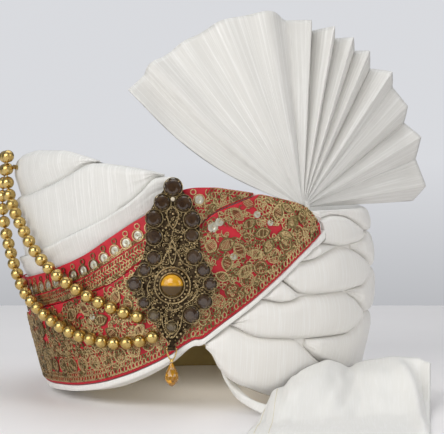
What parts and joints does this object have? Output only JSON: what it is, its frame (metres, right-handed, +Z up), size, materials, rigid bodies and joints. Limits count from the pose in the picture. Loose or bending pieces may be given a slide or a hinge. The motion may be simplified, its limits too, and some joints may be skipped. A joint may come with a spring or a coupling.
{
  "type": "tied turban pagri",
  "caption": "Wound white cloth turban with a slanting red and gold brocade band, pleated cloth fan, stone brooch with a hanging drop, bead strings and a free cloth end.",
  "frame": {"origin": "middle of the bottom of the bounding box, on the surface that the turban stands on", "axes": "+Z up, front of the turban towards -Y, wearer's left towards +X"},
  "size_m": [0.2956, 0.312, 0.2507],
  "materials": {
    "white_silk": "satin, slubbed",
    "khaki_lining": "matt",
    "red_brocade": "woven with gold thread",
    "gold_bead": "polished antique gold",
    "antique_gold": "darkened antique gold",
    "smoky_glass": "faceted, smoky",
    "amber_glass": "polished amber",
    "clear_glass": "faceted, clear",
    "cream_glass": "faceted, cream"
  },
  "bodies": {
    "turban": {"base_collar": "khaki_lining", "crown_cap": "white_silk", "band_backing": "white_silk", "wrap_low": "white_silk", "wrap_middle": "white_silk", "wrap_upper": "white_silk", "puff_lowest": "white_silk", "puff_low": "white_silk", "wedge_low": "white_silk", "puff_middle": "white_silk", "wedge_high": "white_silk", "puff_high": "white_silk", "side_wrap_1": "white_silk", "side_wrap_2": "white_silk", "side_wrap_3": "white_silk", "side_wrap_4": "white_silk", "back_fold": "white_silk", "fan": "white_silk", "fan_knot": "white_silk", "tail": "white_silk", "band_lower": "red_brocade", "band_upper": "red_brocade", "strand_inner": "gold_bead", "strand_outer": "gold_bead", "strand_pin": "gold_bead", "brooch_frame": "antique_gold", "dark_stone_01": "smoky_glass", "dark_stone_02": "smoky_glass", "dark_stone_03": "smoky_glass", "dark_stone_04": "smoky_glass", "dark_stone_05": "smoky_glass", "dark_stone_06": "smoky_glass", "dark_stone_07": "smoky_glass", "dark_stone_08": "smoky_glass", "dark_stone_09": "smoky_glass", "dark_stone_10": "smoky_glass", "dark_stone_11": "smoky_glass", "dark_stone_12": "smoky_glass", "dark_stone_13": "smoky_glass", "dark_stone_14": "smoky_glass", "dark_stone_15": "smoky_glass", "dark_stone_16": "smoky_glass", "centre_stone": "amber_glass", "clear_stone": "clear_glass", "pear_stone": "clear_glass", "cream_crystal": "cream_glass"},
    "drop": {"drop_bail": "antique_gold", "amber_drop": "amber_glass"}
  },
  "joints": [
    {"name": "drop_swing", "type": "hinge", "parent": "turban", "child": "drop", "pos_m": [-0.02671, -0.08866, 0.0409], "axis": [-0.988, 0.1547, 0], "range_deg": [-3, 75]}
  ]
}
